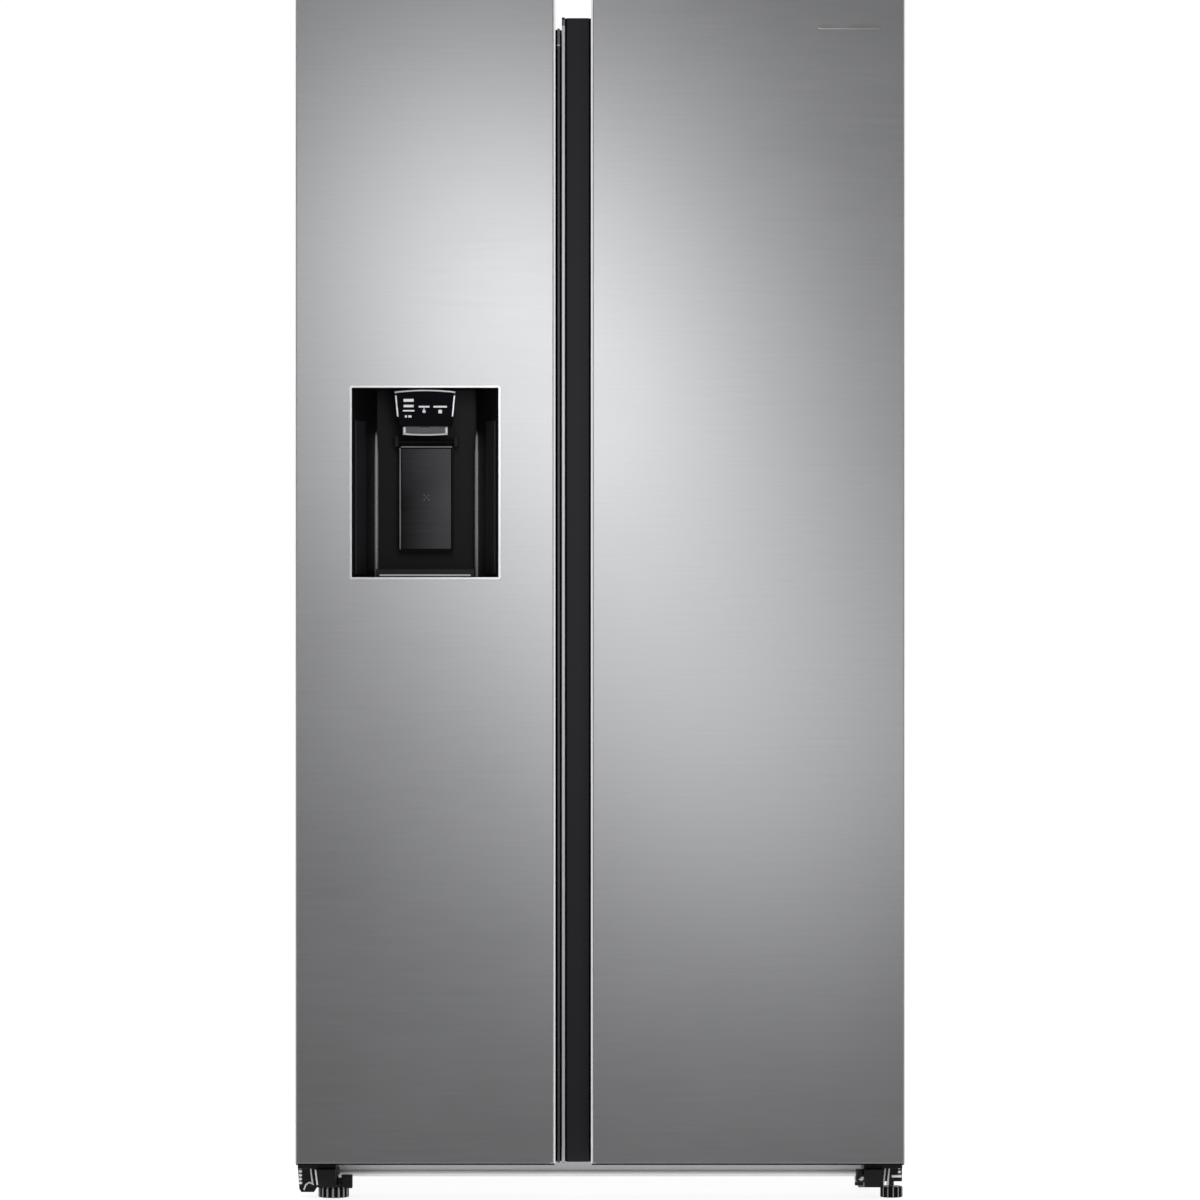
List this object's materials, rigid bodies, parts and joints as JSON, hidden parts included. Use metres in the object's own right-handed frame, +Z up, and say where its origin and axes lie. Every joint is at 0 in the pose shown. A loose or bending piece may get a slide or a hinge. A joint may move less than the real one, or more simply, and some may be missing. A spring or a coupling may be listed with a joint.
{
  "type": "side by side refrigerator",
  "caption": "Side by side refrigerator with brushed steel doors, recessed centre grips, an ice and water dispenser, shelves, drawers and levelling feet.",
  "frame": {"origin": "on the floor, below the middle of the body's width and depth", "axes": "+Z up, -Y out of the doors towards a person in front, +X to the right of a person who faces the doors"},
  "size_m": [0.908, 0.716, 1.79],
  "materials": {
    "brushed_steel": "satin",
    "cabinet_paint": "satin",
    "zinc_sheet": "satin",
    "liner_white": "satin",
    "foam": "matte",
    "base_bar_silver": "satin",
    "cover_plastic": "matte",
    "black_metal": "satin",
    "black_plastic": "matte",
    "copper": "satin",
    "evaporator_alloy": "satin",
    "shelf_glass": "gloss",
    "clear_plastic": "gloss",
    "white_plastic": "satin",
    "hinge_zinc": "satin",
    "roller_plastic": "matte",
    "foot_plastic": "satin",
    "grip_dark": "satin",
    "grip_grey": "satin",
    "seal_rubber": "matte",
    "dispenser_dark": "satin",
    "control_gloss": "gloss",
    "chute_grey": "satin",
    "lever_dark": "satin",
    "tray_grey": "satin",
    "auger_steel": "satin"
  },
  "bodies": {
    "cabinet": {"outer_shell": "cabinet_paint", "rear_panel": "zinc_sheet", "freezer_liner": "liner_white", "fridge_liner": "liner_white", "cabinet_foam": "foam", "centre_mullion": "cabinet_paint", "base_frame": "zinc_sheet", "front_base_bar": "base_bar_silver", "machine_cover": "cover_plastic", "compressor": "black_metal", "condenser": "black_metal", "condenser_fan_shroud": "black_plastic", "drain_pan": "black_plastic", "refrigerant_pipes": "copper", "evaporator": "evaporator_alloy", "freezer_duct_cover": "liner_white", "fridge_duct_cover": "liner_white", "fridge_shelves": "shelf_glass", "shelf_trims": "liner_white", "freezer_shelves": "shelf_glass", "lamp_covers": "liner_white", "water_inlet_valve": "white_plastic", "cord_gland": "black_plastic", "top_hinges": "hinge_zinc", "hinge_covers": "cover_plastic", "bottom_hinges": "black_metal", "leg_brackets": "black_metal"},
    "freezer_door": {"freezer_door_skin": "brushed_steel", "freezer_door_foam": "foam", "freezer_door_liner": "liner_white", "freezer_door_caps": "cover_plastic", "freezer_grip_strip": "grip_grey", "freezer_gasket": "seal_rubber", "dispenser_housing": "dispenser_dark", "control_panel": "control_gloss", "ice_chute": "chute_grey", "drip_tray": "tray_grey", "ice_bucket": "clear_plastic", "freezer_door_bins": "clear_plastic"},
    "fridge_door": {"fridge_door_skin": "brushed_steel", "fridge_door_foam": "foam", "fridge_door_liner": "liner_white", "fridge_door_caps": "cover_plastic", "fridge_grip_channel": "grip_dark", "fridge_gasket": "seal_rubber", "fridge_door_bins": "clear_plastic"},
    "condenser_fan": {"condenser_fan": "black_plastic"},
    "evaporator_fan": {"evaporator_fan": "white_plastic"},
    "front_roller_left": {"front_roller_left": "roller_plastic"},
    "front_roller_right": {"front_roller_right": "roller_plastic"},
    "rear_roller_left": {"rear_roller_left": "roller_plastic"},
    "rear_roller_right": {"rear_roller_right": "roller_plastic"},
    "foot_left": {"foot_left": "foot_plastic"},
    "foot_right": {"foot_right": "foot_plastic"},
    "upper_crisper": {"upper_crisper": "clear_plastic"},
    "lower_crisper": {"lower_crisper": "clear_plastic"},
    "upper_freezer_drawer": {"upper_freezer_drawer": "clear_plastic"},
    "lower_freezer_drawer": {"lower_freezer_drawer": "clear_plastic"},
    "dispenser_lever": {"dispenser_lever": "lever_dark"},
    "ice_auger": {"ice_auger": "auger_steel"}
  },
  "joints": [
    {"name": "freezer_door_swing", "type": "hinge", "parent": "cabinet", "child": "freezer_door", "pos_m": [-0.432, -0.296, 0.05], "axis": [0, 0, -1], "range_deg": [0, 120]},
    {"name": "fridge_door_swing", "type": "hinge", "parent": "cabinet", "child": "fridge_door", "pos_m": [0.432, -0.296, 0.05], "axis": [0, 0, 1], "range_deg": [0, 120]},
    {"name": "dispenser_lever_push", "type": "hinge", "parent": "freezer_door", "child": "dispenser_lever", "pos_m": [-0.26025, -0.289, 1.1316], "axis": [1, 0, 0], "range_deg": [0, 7], "stiffness_Nm_per_rad": 0.6, "springref_deg": -6.88},
    {"name": "ice_auger_spin", "type": "hinge", "parent": "freezer_door", "child": "ice_auger", "pos_m": [-0.24275, -0.226, 1.3076], "axis": [1, 0, 0], "continuous": true},
    {"name": "condenser_fan_spin", "type": "hinge", "parent": "cabinet", "child": "condenser_fan", "pos_m": [-0.015, 0.25, 0.188], "axis": [1, 0, 0], "continuous": true},
    {"name": "evaporator_fan_spin", "type": "hinge", "parent": "cabinet", "child": "evaporator_fan", "pos_m": [-0.24275, 0.281, 1.31], "axis": [0, 1, 0], "continuous": true},
    {"name": "front_roller_left_spin", "type": "hinge", "parent": "cabinet", "child": "front_roller_left", "pos_m": [-0.402, -0.19, 0.02], "axis": [1, 0, 0], "continuous": true},
    {"name": "front_roller_right_spin", "type": "hinge", "parent": "cabinet", "child": "front_roller_right", "pos_m": [0.402, -0.19, 0.02], "axis": [1, 0, 0], "continuous": true},
    {"name": "rear_roller_left_spin", "type": "hinge", "parent": "cabinet", "child": "rear_roller_left", "pos_m": [-0.402, 0.305, 0.02], "axis": [1, 0, 0], "continuous": true},
    {"name": "rear_roller_right_spin", "type": "hinge", "parent": "cabinet", "child": "rear_roller_right", "pos_m": [0.402, 0.305, 0.02], "axis": [1, 0, 0], "continuous": true},
    {"name": "foot_left_turn", "type": "hinge", "parent": "cabinet", "child": "foot_left", "pos_m": [-0.399, -0.298, 0.02], "axis": [0, 0, 1], "continuous": true},
    {"name": "foot_right_turn", "type": "hinge", "parent": "cabinet", "child": "foot_right", "pos_m": [0.4365, -0.298, 0.02], "axis": [0, 0, 1], "continuous": true},
    {"name": "upper_crisper_slide", "type": "slide", "parent": "cabinet", "child": "upper_crisper", "axis": [0, -1, 0], "range_m": [0, 0.105]},
    {"name": "lower_crisper_slide", "type": "slide", "parent": "cabinet", "child": "lower_crisper", "axis": [0, -1, 0], "range_m": [0, 0.105]},
    {"name": "upper_freezer_drawer_slide", "type": "slide", "parent": "cabinet", "child": "upper_freezer_drawer", "axis": [0, -1, 0], "range_m": [0, 0.105]},
    {"name": "lower_freezer_drawer_slide", "type": "slide", "parent": "cabinet", "child": "lower_freezer_drawer", "axis": [0, -1, 0], "range_m": [0, 0.105]}
  ]
}
